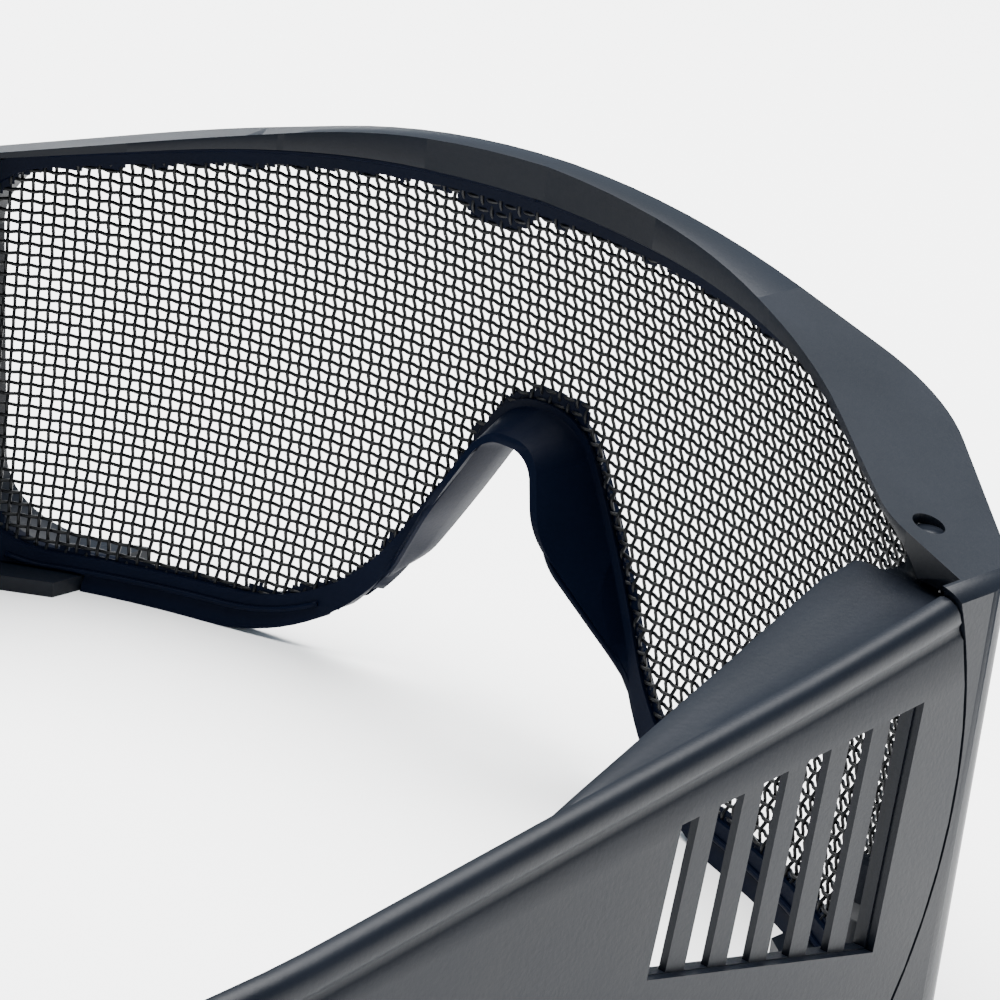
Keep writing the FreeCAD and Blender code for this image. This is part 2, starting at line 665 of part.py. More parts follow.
def make_right_temple(doc, left):
    """The right temple, the left one in mirror image."""
    right = doc.addObject("Part::Mirroring", "temple_right")
    right.Label = "temple_right"
    right.Source = left
    right.Base = V(0, 0, 0)
    right.Normal = V(1, 0, 0)
    doc.recompute()
    return right


def main():
    doc = FreeCAD.newDocument("goggles")
    s = Sheet(doc)
    left = make_temple(doc, s)
    nodes = [make_frame(doc, s), make_rim(doc, s), make_screen(doc, s, "wire_screen"), left]
    for node in nodes:
        node.setExpression("Placement.Base.y", "-(Sizes.temple_length - Sizes.rim_front) / 2")
    doc.recompute()
    nodes.append(make_right_temple(doc, left))
    write(doc, nodes)


def write(doc, nodes):
    """Check every object and write each piece to its own file."""
    doc.recompute()
    for item in doc.Objects:
        if "Invalid" in item.State or "Error" in item.State:
            raise RuntimeError("%s is %s" % (item.Label, item.State))
    os.makedirs("parts", exist_ok=True)
    for node in nodes:
        shape = node.Shape
        if shape.isNull() or not shape.isValid():
            raise RuntimeError("%s has no sound shape" % node.Label)
        shape.exportStep("parts/%s.step" % node.Label)
        box = shape.BoundBox
        print("%-14s solids %d volume %8.1f mm3  x %.1f..%.1f  y %.1f..%.1f  z %.1f..%.1f" % (
            node.Label, len(shape.Solids), shape.Volume,
            box.XMin, box.XMax, box.YMin, box.YMax, box.ZMin, box.ZMax))


main()
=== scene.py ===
"""Looks, light and camera for the mesh safety goggles: woven screen, moulded plastics and stage."""
import math

import bmesh
import bpy
import numpy as np
from bpy.props import FloatProperty, FloatVectorProperty, IntProperty, PointerProperty
from mathutils import Matrix, Vector, noise


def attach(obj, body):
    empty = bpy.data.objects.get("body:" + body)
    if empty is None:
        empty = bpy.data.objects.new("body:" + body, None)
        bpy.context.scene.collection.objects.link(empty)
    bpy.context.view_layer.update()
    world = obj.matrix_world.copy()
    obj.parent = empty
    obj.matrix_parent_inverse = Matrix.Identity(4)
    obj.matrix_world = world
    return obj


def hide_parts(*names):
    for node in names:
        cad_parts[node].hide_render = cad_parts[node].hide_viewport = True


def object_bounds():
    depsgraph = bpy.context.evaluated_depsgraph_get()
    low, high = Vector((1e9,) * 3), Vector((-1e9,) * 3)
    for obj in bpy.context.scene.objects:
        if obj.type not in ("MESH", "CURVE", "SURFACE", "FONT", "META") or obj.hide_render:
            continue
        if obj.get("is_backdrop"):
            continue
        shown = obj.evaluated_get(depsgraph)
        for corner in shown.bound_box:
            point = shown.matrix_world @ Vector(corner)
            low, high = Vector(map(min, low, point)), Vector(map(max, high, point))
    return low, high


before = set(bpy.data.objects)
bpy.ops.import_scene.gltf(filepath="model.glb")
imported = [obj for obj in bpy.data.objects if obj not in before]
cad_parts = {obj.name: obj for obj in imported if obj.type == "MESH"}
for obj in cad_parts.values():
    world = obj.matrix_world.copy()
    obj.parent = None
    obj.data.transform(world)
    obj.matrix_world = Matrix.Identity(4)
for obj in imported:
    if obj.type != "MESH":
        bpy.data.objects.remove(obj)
CAD_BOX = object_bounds()

bl_info = {
    "name": "Mesh safety goggles",
    "version": (1, 0, 0),
    "blender": (4, 5, 0),
    "location": "View3D > Sidebar > Goggles",
    "description": "Dresses the goggles: wire weave, moulded plastics, stage and camera",
    "category": "Object",
}

# Sizes are in millimetres and y runs rearwards from the middle of the screen, if not said otherwise
MM = 0.001
# Where the middle of the screen stands in the row frame, front to rear, in metres
SCREEN_Y = -81.35 * MM
# Points along the arc that rounds one corner of an outline
CORNER_STEPS = 24

# Plan of the screen from the middle outwards: radius, turn in degrees
SCREEN_PLAN = ((137.0, 19.5), (95.0, 11.0), (47.0, 28.0))
SCREEN_UPRIGHT_RADIUS = 131.0
SCREEN_APEX_HEIGHT = 33.8
# Rounds of correction that find the place on the screen behind a point seen from the front
PLACING_ROUNDS = 40
# Visible edge of the screen seen from the front, from the brow round to the notch: x, z, radius
SIGHT_CORNERS = ((25.8, 63.2, 200.0), (73.8, 51.7, 9.0), (71.0, 3.9, 10.0), (26.3, 5.0, 24.0),
                 (5.7, 40.1, 8.7))
# How each of these corners moves when the edge grows by one: x, z, radius
SIGHT_GROWTH = ((0.0, 1.0, 1), (1.0, 0.75, 1), (1.0, -1.0, 1), (-0.57, -1.0, 1), (-0.57, -1.0, -1))
# Wires to each side of the middle: upright ones, level ones
WEAVE_REACH = (62, 25)

# Temple from the side, front to rear, as the corners of an outline: y, z, radius
TEMPLE_SIDE = ((28.2, 52.3, 0.01), (137.0, 38.2, 22.0), (164.0, 11.0, 6.0), (164.0, 0.0, 3.0),
               (151.0, 0.0, 3.0), (127.0, 28.0, 16.0), (28.2, 6.1, 0.01))
# Where the temple's outline is taken along its length: first y, last y, step; and its very end
TEMPLE_STATIONS = ((30.6, 60.0, 2.4), (60.0, 134.0, 4.0), (134.0, 163.7, 1.1))
TEMPLE_END = 163.9
TEMPLE_OUTER = 81.0
TEMPLE_WALL = 2.4
TEMPLE_INNER = TEMPLE_OUTER - TEMPLE_WALL
# Where the temple turns inwards: place along it, half length of the turn, slope after it
TEMPLE_TURN = (126.0, 8.0, 0.182)
# Flat faces of the wall: steps in height, start above the foot, end under the top
WALL_STEPS = 8
WALL_ENDS = (0.8, 4.4)
# Lower edge of the wall: x of its outer and inner corner, x and rise of the rounding outside
FOOT_CORNERS = (80.2, 79.4)
FOOT_ROUND = (80.75, 0.25)
# Rolled top edge with the line under it, from outside inwards: x, distance under the top
ROLLED_EDGE = ((80.74, 3.9), (80.6, 3.4), (80.7, 2.9), (80.98, 2.4), (80.94, 1.4), (80.65, 0.6),
               (80.1, 0.15), (79.5, 0.0), (78.85, 0.15))
# Gusset: its inner edge at the hinge, where it starts and has run out, and the width it fades over
GUSSET_INNER = 65.5
GUSSET_SPAN = (36.0, 97.0)
GUSSET_FADE = 3.0
# Gusset points nearer the middle than the first value reach forward to the second, under the roof
GUSSET_FRONT = (78.3, 31.2)
# Ledge that the gusset makes: its x, its depth under the top, the places where it sags, the sag
LEDGE = (78.0, 1.4)
LEDGE_PARTS = (0.12, 0.4, 0.7)
LEDGE_SAG = 0.5
# Depth of the gusset's lip under the top, where the gusset is full and where it has run out
LIP_DROPS = (1.45, 2.1)
# Rounded inner edge of the gusset, from above to below: distance from that edge, drop under the lip
LIP_ROUND = ((1.1, 0.36), (0.3, 0.55), (0.0, 1.1), (0.25, 1.8), (0.9, 2.15))
LIP_UNDER = 2.3
# The seam's arc seen from the side: centre y, centre z, radius of the temple's edge
SEAM = (77.8, 30.5, 47.2)
# Length over which the arc of the seam fades out of the temple's stations
SEAM_FADE = 26.0
# Vent window corners y, z: front top, rear top, rear foot, front foot
VENT = ((39.0, 42.2), (74.6, 39.5), (76.5, 24.8), (40.6, 16.3))
VENT_SLOTS = 6
# Width of a slot as a share of the distance from slot to slot
VENT_SHARE = 0.56
# Reach of the slots through the wall, and of the outer and inner recess: x, x, growth in fractions
SLOT_CUT = (75.0, 84.0, 0.0)
RECESS_CUTS = ((80.1, 83.0, 0.006), (76.0, 79.3, 0.004))
# Hinge end kept from the solid: up to this y, and this far out
HINGE_END = (36.6, 78.8)

# Saddle wall: lean over its reach, reach, overlap with the rim, wall
SADDLE_WALL = (4.6, 10.0, 0.5, 1.9)
# The lean starts this share of the reach before the screen's middle plane
SADDLE_LEAN_START = 0.3
# The saddle's wall at its rear edge
SADDLE_EDGE = 0.9
# Points of the rim that get thinner: behind this y, nearer the middle and lower than these
SLIM_LIMITS = (2.5, 28.0, 41.0)
# They lie on the nose side of this share of the wall, and end up this far inside the rear edge's face
SLIM_SHARE = 0.7
SLIM_SINK = 0.15
# How much thicker the saddle is at its root, and the heights over which that swells from the foot
SADDLE_ROOT = 2.4
SADDLE_FOOT = (11.0, 20.0)
# The saddle's rear edge seen from the side: height, place
SADDLE_REAR = ((10.0, 3.2), (14.5, 4.0), (27.5, 9.6), (37.5, 6.7), (42.0, 6.7))
# Smooth face of the saddle: step along the notch, half width and height of the notch it covers
PAD_STEP = 0.6
PAD_NOTCH = (24.0, 45.0)
# Points over which its rear edge is evened out, to each side
PAD_EVENING = 4

# Raised line on the rear of the rim: distance outside the visible edge, height, radius, sides, step
BEAD_OUT = 1.75
BEAD_LIFT = -1.02
BEAD_RADIUS = 0.34
BEAD_SIDES = 8
BEAD_STEP = 0.8
# The line ends at this x, and leaves out the notch up to this x and z
BEAD_LAST_X = 66.0
BEAD_NOTCH = (27.0, 45.0)

# Flash: fine squares to one cell of the weave, half its thickness and how far it creeps in
FLASH_SQUARES = 3
FLASH_HALF = 0.16
FLASH_REACH = 6.0
# How far under the rim the flash starts
FLASH_UNDER_RIM = 0.4
# Its depth: height, size and seed of the broad and of the fine blobs, and what is taken off again
FLASH_BROAD = (2.2, 3.2, 4.0)
FLASH_FINE = (0.5, 0.7, 9.0)
FLASH_BACK = 0.35
# Where the flash spread further: x, z, half width, half height, extra reach
FLASH_PATCHES = ((9.0, 63.0, 5.5, 6.0, 3.4), (-3.0, 43.0, 8.0, 4.0, 1.4))
# Edge of such a patch, in half widths from its middle, where the extra reach has run out
FLASH_PATCH_END = 1.3

# Rounding of moulded edges, the edges sharper than this many degrees, and facets taken as joined
EDGE_ROUND = 0.4
EDGE_ANGLE = 38
EDGE_WELD = 0.002
FACET_WELD = 0.003
# Edges sharper than this many degrees stay sharp in the shading
SHARP_ANGLE = 32

# Moulded plastic: scale of its flow marks, grain and pits, and its darkest and lightest share
PLASTIC_SCALES = (38.0, 2600.0, 1500.0)
PLASTIC_SHADES = (0.82, 1.28)
# Depth of the grain in metres
GRAIN_DEPTH = 0.00006
# Grain and specular level of the shell and of the rim, and how much rougher the rim is
SHELL_GRAIN, SHELL_SHINE = 0.35, 0.12
RIM_GRAIN, RIM_SHINE, RIM_ROUGHER = 0.25, 0.03, 0.06
PLASTIC_IOR = 1.5
# Coated wire: scale of its worn spots, their colour and its specular level
WORN_SCALE = 900.0
WORN_COLOUR = (0.010, 0.010, 0.012, 1.0)
WIRE_SHINE = 0.2

# Floor: half its side in metres, scale of its mottling, darkest share of its colour, roughness
FLOOR_HALF = 6.0
FLOOR_MOTTLE = 9.0
FLOOR_SHADE = 0.985
FLOOR_ROUGHNESS = 0.7
# Light from all round, and the soft window: size, spread in degrees, place, aim, in metres
SKY_COLOUR = (0.72, 0.86, 1.0, 1.0)
WINDOW_SIZE = (1.8, 1.3)
WINDOW_SPREAD = 110
WINDOW_PLACE = (0.15, -0.35, 1.35)
WINDOW_AIM = (0.12, -0.30, 0.0)
# Camera: lens, sensor width, where it looks, its level right hand side, roll in degrees, place in metres
CAMERA_LENS = 127.0
CAMERA_SENSOR = 36.0
CAMERA_AHEAD = (0.5978, -0.7227, -0.3469)
CAMERA_RIGHT = (-0.7705, -0.6374, 0.0)
CAMERA_ROLL = 7.0
CAMERA_PLACE = (-0.24535, 0.30385 + SCREEN_Y, 0.17172)


class WeaveSizes(bpy.types.PropertyGroup):
    """Sizes of the woven wire."""
    pitch: FloatProperty(name="Pitch", description="Distance from one wire to the next",
                         default=1.41 * MM, unit="LENGTH", precision=5)
    wire: FloatProperty(name="Wire", description="Diameter of one wire with its coat",
                        default=0.47 * MM, unit="LENGTH", precision=5)
    tuck: FloatProperty(name="Tuck", description="How far the wires run on under the rim",
                        default=0.7 * MM, unit="LENGTH", precision=5)
    sides: IntProperty(name="Sides", description="Faces round one wire", default=6, min=4)
    steps: IntProperty(name="Steps", description="Points along a wire in one pitch", default=4, min=2)


class PlasticLooks(bpy.types.PropertyGroup):
    """Colours and gloss of the moulded pieces and the wire."""
    shell: FloatVectorProperty(name="Shell", description="Colour of the brow frame and temples",
                               default=(0.0022, 0.0034, 0.0062), subtype="COLOR", size=3)
    # Rim colour: the shell's black plastic made darker and bluer, as painted shade on the rim's band
    # that faces rearwards, away from the light
    rim: FloatVectorProperty(name="Rim", description="Colour of the rim and nose saddle",
                             default=(0.0010, 0.0022, 0.0070), subtype="COLOR", size=3)
    wire: FloatVectorProperty(name="Wire", description="Colour of the coated wire",
                              default=(0.0025, 0.0028, 0.0035), subtype="COLOR", size=3)
    roughness: FloatProperty(name="Roughness", description="Roughness of the satin plastic",
                             default=0.42, min=0.0, max=1.0, subtype="FACTOR")


class StageLooks(bpy.types.PropertyGroup):
    """Light and floor."""
    floor: FloatVectorProperty(name="Floor", description="Colour of the floor",
                               default=(0.90, 0.895, 0.885), subtype="COLOR", size=3)
    sky: FloatProperty(name="Sky", description="Strength of the light from all round",
                       default=0.6, min=0.0)
    window: FloatProperty(name="Window", description="Power of the large soft light above",
                          default=76.0, min=0.0, unit="POWER")


class Shade:
    """A shader socket that can be written into sums and products."""

    def __init__(self, tree, socket):
        self.tree = tree
        self.socket = socket

    def node(self, kind, settings=None, **links):
        """Add a node, set it up, then fill its inputs by name or by n and number; its first output."""
        made = self.tree.nodes.new(kind)
        for name, value in (settings or {}).items():
            setattr(made, name, value)
        for name, value in links.items():
            numbered = name[0] == "n" and name[1:].isdigit()
            target = made.inputs[int(name[1:]) if numbered else name]
            if isinstance(value, Shade):
                self.tree.links.new(value.socket, target)
            else:
                target.default_value = value
        return Shade(self.tree, [out for out in made.outputs if out.enabled][0])

    def __add__(self, other):
        return self.node("ShaderNodeMath", {"operation": "ADD"}, n0=self, n1=other)

    def __mul__(self, other):
        return self.node("ShaderNodeMath", {"operation": "MULTIPLY"}, n0=self, n1=other)

    def mix(self, low, high):
        """A colour between two, by this value."""
        return self.node("ShaderNodeMix", {"data_type": "RGBA"}, n0=self, n6=low, n7=high)

    def between(self, low, high):
        """This value stretched from low..high to 0..1."""
        return self.node("ShaderNodeMapRange", n0=self, n1=low, n2=high, n3=0.0, n4=1.0)


def new_material(name):
    """An empty node material with its shader and a place to start from."""
    material = bpy.data.materials.new(name)
    material.use_nodes = True
    tree = material.node_tree
    tree.nodes.clear()
    output = tree.nodes.new("ShaderNodeOutputMaterial")
    shader = tree.nodes.new("ShaderNodeBsdfPrincipled")
    tree.links.new(shader.outputs["BSDF"], output.inputs["Surface"])
    place = Shade(tree, tree.nodes.new("ShaderNodeTexCoord").outputs["Object"])
    return material, shader, place


def feed(shader, name, value):
    """Join a value to one of the shader's inputs."""
    value.tree.links.new(value.socket, shader.inputs[name])


def shine_level(shader, level):
    """Set how strongly a plastic or a coat reflects."""
    shader.inputs["IOR"].default_value = PLASTIC_IOR
    shader.inputs["Specular IOR Level"].default_value = level


def moulded_plastic(name, colour, roughness, grain, shine):
    """Satin moulded nylon: fine grain, cloudy flow marks and patches of more and less gloss."""
    material, shader, place = new_material(name)
    flow_scale, grain_scale, pit_scale = PLASTIC_SCALES
    cloud = place.node("ShaderNodeTexNoise", Vector=place, Scale=flow_scale, Detail=4.0, Roughness=0.6)
    fine = place.node("ShaderNodeTexNoise", Vector=place, Scale=grain_scale, Detail=3.0, Roughness=0.65)
    pits = place.node("ShaderNodeTexVoronoi", {"feature": "F1"}, Vector=place, Scale=pit_scale)
    dark, light = (tuple(c * share for c in colour) + (1.0,) for share in PLASTIC_SHADES)
    feed(shader, "Base Color", (cloud.between(0.3, 0.7) * 0.8 + fine * 0.2).mix(dark, light))
    feed(shader, "Roughness", cloud * 0.14 + fine * 0.10 + (roughness - 0.12))
    height = fine * 0.7 + pits * 0.3
    bump = place.node("ShaderNodeBump", Strength=grain, Distance=GRAIN_DEPTH, Height=height)
    feed(shader, "Normal", bump)
    shine_level(shader, shine)
    return material


def coated_wire(name, colour):
    """Black coated steel wire with small worn spots on its crowns."""
    material, shader, place = new_material(name)
    spots = place.node("ShaderNodeTexNoise", Vector=place, Scale=WORN_SCALE, Detail=3.0, Roughness=0.7)
    worn = spots.between(0.62, 0.78)
    feed(shader, "Base Color", worn.mix(tuple(colour) + (1.0,), WORN_COLOUR))
    feed(shader, "Roughness", spots * 0.25 + 0.28)
    shine_level(shader, WIRE_SHINE)
    return material


def soften(piece):
    """Round the sharp edges of a moulded piece a little."""
    weld = piece.modifiers.new("Weld", "WELD")
    weld.merge_threshold = EDGE_WELD * MM
    bevel = piece.modifiers.new("Moulded edges", "BEVEL")
    bevel.width = EDGE_ROUND * MM
    bevel.segments = 2
    bevel.limit_method = "ANGLE"
    bevel.angle_limit = math.radians(EDGE_ANGLE)


def row_mesh(name, verts, faces):
    """A mesh in metres in the row frame, from points in millimetres."""
    mesh = bpy.data.meshes.new(name)
    placed = np.array(verts) * MM + np.array((0.0, SCREEN_Y, 0.0))
    mesh.from_pydata(placed.tolist(), [], faces)
    return mesh


def new_object(name, mesh):
    """An object for a mesh, put into the scene."""
    made = bpy.data.objects.new(name, mesh)
    bpy.context.scene.collection.objects.link(made)
    return made


def carried(name, mesh, body):
    """An object for a mesh that rides on a body."""
    piece = new_object(name, mesh)
    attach(piece, body)
    return piece


def mesh_piece(name, verts, faces, material, body, smooth=True):
    """A piece made of points in millimetres, smooth all over or faceted all over."""
    mesh = row_mesh(name, verts, faces)
    mesh.polygons.foreach_set("use_smooth", [smooth] * len(mesh.polygons))
    mesh.materials.append(material)
    return carried(name, mesh, body)


def finish_piece(name, mesh, material, body):
    """A piece made of a finished mesh, smooth but for its sharp edges."""
    mesh.materials.clear()
    mesh.materials.append(material)
    mesh.polygons.foreach_set("use_smooth", [True] * len(mesh.polygons))
    mesh.set_sharp_from_angle(angle=math.radians(SHARP_ANGLE))
    return carried(name, mesh, body)


def worked_mesh(name, shape):
    """A mesh from a worked shape, with its faces turned outwards."""
    bmesh.ops.recalc_face_normals(shape, faces=shape.faces)
    mesh = bpy.data.meshes.new(name)
    shape.to_mesh(mesh)
    shape.free()
    return mesh


def outward_mesh(name, verts, faces):
    """A mesh of points in millimetres, with its faces turned outwards."""
    rough = row_mesh(name, verts, faces)
    shape = bmesh.new()
    shape.from_mesh(rough)
    bpy.data.meshes.remove(rough)
    return worked_mesh(name, shape)


def solid_shape(node):
    """The shape of a CAD node where it stands, with its facets joined at their corners."""
    shape = bmesh.new()
    shape.from_mesh(node.data)
    bmesh.ops.transform(shape, matrix=node.matrix_world, verts=shape.verts)
    bmesh.ops.remove_doubles(shape, verts=shape.verts, dist=FACET_WELD * MM)
    return shape


def mirrored(mesh):
    """A copy of a mesh on the other side."""
    twin = mesh.copy()
    twin.transform(Matrix.Scale(-1.0, 4, (1.0, 0.0, 0.0)))
    twin.flip_normals()
    return twin


def skin(base, rings, count, faces):
    """Join rings of points that follow one another in the list of points."""
    for row in range(rings - 1):
        here, there = base + row * count, base + (row + 1) * count
        for k in range(count):
            nxt = (k + 1) % count
            faces.append((here + k, here + nxt, there + nxt, there + k))


def closed_skin(base, rings, count, faces):
    """Join rings of points and close both ends."""
    skin(base, rings, count, faces)
    last = base + (rings - 1) * count
    faces.append(tuple(range(base + count - 1, base - 1, -1)))
    faces.append(tuple(range(last, last + count)))


def rounded(corners):
    """The points of a closed outline whose corners (x, z, radius) are rounded."""
    points = []
    count = len(corners)
    for i, (x, z, radius) in enumerate(corners):
        corner = np.array((x, z))
        before = np.array(corners[i - 1][:2]) - corner
        after = np.array(corners[(i + 1) % count][:2]) - corner
        before /= np.linalg.norm(before)
        after /= np.linalg.norm(after)
        half = math.acos(float(before @ after)) / 2
        middle = before + after
        centre = corner + middle / np.linalg.norm(middle) * radius / math.sin(half)
        start = corner + before * radius / math.tan(half) - centre
        end = corner + after * radius / math.tan(half) - centre
        first = math.atan2(start[1], start[0])
        sweep = math.atan2(end[1], end[0]) - first
        sweep = (sweep + math.pi) % (2 * math.pi) - math.pi
        for k in range(CORNER_STEPS + 1):
            angle = first + sweep * k / CORNER_STEPS
            points.append(centre + radius * np.array((math.cos(angle), math.sin(angle))))
    return np.array(points)


def sight_edge(grow):
    """The screen's visible edge grown by a distance in millimetres."""
    half = [(x + grow * more_x, z + grow * more_z, radius + grow * more_radius)
            for (x, z, radius), (more_x, more_z, more_radius) in zip(SIGHT_CORNERS, SIGHT_GROWTH)]
    return rounded(half + [(-x, z, radius) for x, z, radius in reversed(half)])


def inside(points, edge):
    """Which of the points (x, z) lie within an outline."""
    result = np.zeros(len(points), bool)
    x, z = points[:, 0], points[:, 1]
    for (ax, az), (bx, bz) in zip(edge, np.roll(edge, -1, axis=0)):
        if az == bz:
            continue
        crossing = (az > z) != (bz > z)
        result ^= crossing & (x < (bx - ax) * (z - az) / (bz - az) + ax)
    return result


def edge_distance(points, edge):
    """How far each of the points (x, z) is from an outline, in millimetres."""
    nearest = np.full(len(points), np.inf)
    for start, end in zip(edge, np.roll(edge, -1, axis=0)):
        run = end - start
        length = float(run @ run)
        if length == 0.0:
            continue
        share = np.clip((points - start) @ run / length, 0.0, 1.0)
        nearest = np.minimum(nearest, np.linalg.norm(points - start - share[:, None] * run, axis=1))
    return nearest


def even_points(edge, step):
    """Points (x, z) at even distances along an outline."""
    closed = np.vstack([edge, edge[:1]])
    reach = np.concatenate([[0.0], np.cumsum(np.linalg.norm(np.diff(closed, axis=0), axis=1))])
    places = np.arange(0.0, reach[-1], step)
    return np.stack([np.interp(places, reach, closed[:, k]) for k in range(2)], -1)


def runs(mask):
    """The first index of every stretch of true values, and the index after its last."""
    edges = np.flatnonzero(np.diff(np.concatenate(([0], mask.astype(int), [0]))))
    return list(zip(edges[::2], edges[1::2]))


def screen_points(along, up, lift):
    """Points on the screen and their normals: along its plan, up its arc, lifted to the front."""
    turned, x, y, done = 0.0, 0.0, 0.0, 0.0
    side, reach = np.sign(along), np.abs(along)
    px, py, angle = np.zeros_like(reach), np.zeros_like(reach), np.zeros_like(reach)
    for index, (radius, sweep) in enumerate(SCREEN_PLAN):
        length = radius * math.radians(sweep)
        last = index == len(SCREEN_PLAN) - 1
        here = (reach >= done) & ((reach < done + length) | last)
        heading = turned + (reach - done) / radius
        px = np.where(here, x + radius * (np.sin(heading) - math.sin(turned)), px)
        py = np.where(here, y + radius * (math.cos(turned) - np.cos(heading)), py)
        angle = np.where(here, heading, angle)
        x += radius * (math.sin(turned + math.radians(sweep)) - math.sin(turned))
        y += radius * (math.cos(turned) - math.cos(turned + math.radians(sweep)))
        turned += math.radians(sweep)
        done += length
    px, angle = px * side, angle * side
    rise = up / SCREEN_UPRIGHT_RADIUS
    sag = SCREEN_UPRIGHT_RADIUS * (1 - np.cos(rise))
    normal = np.stack([np.sin(angle) * np.cos(rise), -np.cos(angle) * np.cos(rise), np.sin(rise)], -1)
    flat = np.stack([px - np.sin(angle) * sag, py + np.cos(angle) * sag,
                     SCREEN_APEX_HEIGHT + SCREEN_UPRIGHT_RADIUS * np.sin(rise)], -1)
    return flat + normal * np.reshape(lift, (-1, 1)), normal


def on_screen(flat, lift):
    """Points lifted off the screen, with normals, that are seen from the front at the given x, z."""
    along, up = flat[:, 0].copy(), flat[:, 1] - SCREEN_APEX_HEIGHT
    lifts = np.full(len(flat), lift)
    for _ in range(PLACING_ROUNDS):
        points, _ = screen_points(along, up, lifts)
        along += flat[:, 0] - points[:, 0]
        up += flat[:, 1] - points[:, 2]
    return screen_points(along, up, lifts)


def tube(points, normals, radius, sides, verts, faces):
    """Add a tube with closed ends along a line of points."""
    ahead = np.gradient(points, axis=0)
    ahead /= np.linalg.norm(ahead, axis=1, keepdims=True)
    across = np.cross(ahead, normals)
    across /= np.linalg.norm(across, axis=1, keepdims=True)
    outward = np.cross(across, ahead)
    rings = np.zeros((len(points), sides, 3))
    for k in range(sides):
        turn = 2 * math.pi * (k + 0.5) / sides
        rings[:, k] = points + radius * (math.cos(turn) * across + math.sin(turn) * outward)
    closed_skin(len(verts), len(points), sides, faces)
    verts.extend(rings.reshape(-1, 3))


def weave(sizes):
    """Both sets of wires, each bent over and under the wires that it crosses."""
    pitch, radius = sizes.pitch / MM, sizes.wire / MM / 2
    edge = sight_edge(sizes.tuck / MM)
    columns, rows = WEAVE_REACH
    step = pitch / sizes.steps
    verts, faces = [], []

    def wire(along, up, crimp):
        points, normals = screen_points(along, up, crimp)
        for first, last in runs(inside(points[:, [0, 2]], edge)):
            if last - first > sizes.steps:
                tube(points[first:last], normals[first:last], radius, sizes.sides, verts, faces)

    for row in range(-rows, rows + 1):
        along = np.arange(-columns * pitch, columns * pitch + step / 2, step)
        crimp = radius * np.cos(math.pi * along / pitch) * (-1) ** row
        wire(along, np.full_like(along, (row + 0.5) * pitch), crimp)
    for column in range(-columns, columns + 1):
        up = np.arange(-rows * pitch, (rows + 1) * pitch + step / 2, step)
        crimp = -radius * np.cos(math.pi * (up / pitch - 0.5)) * (-1) ** column
        wire(np.full_like(up, column * pitch), up, crimp)
    return verts, faces


def speckle(points, size, seed):
    """Smooth random values from 0 to 1 at the points, with blobs of about a given size."""
    return np.array([noise.noise(Vector((x / size, z / size, seed))) for x, z in points]) * 0.5 + 0.5


def flash_grid(sizes):
    """Where plastic crept out of the mould and filled cells of the weave: a mask over fine squares."""
    fine = sizes.pitch / MM / FLASH_SQUARES
    columns, rows = (reach * FLASH_SQUARES for reach in WEAVE_REACH)
    along = (np.arange(-columns, columns) + 0.5) * fine
    up = (np.arange(-rows, rows) + 0.5) * fine
    grid = np.stack(np.meshgrid(along, up, indexing="ij"), -1).reshape(-1, 2)
    points, _ = screen_points(grid[:, 0], grid[:, 1], np.zeros(len(grid)))
    flat = points[:, [0, 2]]
    edge = sight_edge(0.0)
    near = inside(flat, sight_edge(FLASH_UNDER_RIM))
    gap = np.full(len(flat), np.inf)
    gap[near] = edge_distance(flat[near], edge)
    gap[near & ~inside(flat, edge)] = 0.0
    close = gap < FLASH_REACH
    depth = np.zeros(len(flat))
    (broad, broad_size, broad_seed), (small, small_size, small_seed) = FLASH_BROAD, FLASH_FINE
    depth[close] = (broad * speckle(flat[close], broad_size, broad_seed) ** 2 - FLASH_BACK
                    + small * speckle(flat[close], small_size, small_seed))
    for x, z, wide, tall, extra in FLASH_PATCHES:
        reach = ((flat[:, 0] - x) / wide) ** 2 + ((flat[:, 1] - z) / tall) ** 2
        depth += np.where(close, extra * np.clip(FLASH_PATCH_END - reach, 0.0, 1.0), 0.0)
    return (close & (gap < depth)).reshape(2 * columns, 2 * rows), along, up, fine


def flash(sizes):
    """Closed flakes of plastic between the wires, from the mask of filled squares."""
    filled, along, up, fine = flash_grid(sizes)
    corner = {}
    verts, faces = [], []

    def point(i, j, front):
        key = (i, j, front)
        if key not in corner:
            corner[key] = len(corner)
            verts.append((along[0] + (i - 0.5) * fine, up[0] + (j - 0.5) * fine,
                          FLASH_HALF if front else -FLASH_HALF))
        return corner[key]

    for i, j in np.argwhere(filled):
        ring = ((i, j), (i + 1, j), (i + 1, j + 1), (i, j + 1))
        faces.append(tuple(point(a, b, True) for a, b in ring))
        faces.append(tuple(point(a, b, False) for a, b in reversed(ring)))
        for side, (di, dj) in enumerate(((0, -1), (1, 0), (0, 1), (-1, 0))):
            if not filled[i + di, j + dj]:
                first, second = ring[side], ring[(side + 1) % 4]
                faces.append((point(*second, True), point(*first, True),
                              point(*first, False), point(*second, False)))
    flat = np.array(verts)
    points, _ = screen_points(flat[:, 0], flat[:, 1], flat[:, 2])
    return points, faces


def temple_inset(y):
    """How far the temple has turned inwards at a place along it."""
    start, blend, slope = TEMPLE_TURN
    if y < start - blend:
        return 0.0
    if y < start + blend:
        return slope * (y - start + blend) ** 2 / (4 * blend)
    return slope * (y - start)


def wall_heights(start, end):
    """Heights from one end of a flat wall face to the other, in even steps."""
    return [start + (end - start) * k / WALL_STEPS for k in range(WALL_STEPS + 1)]


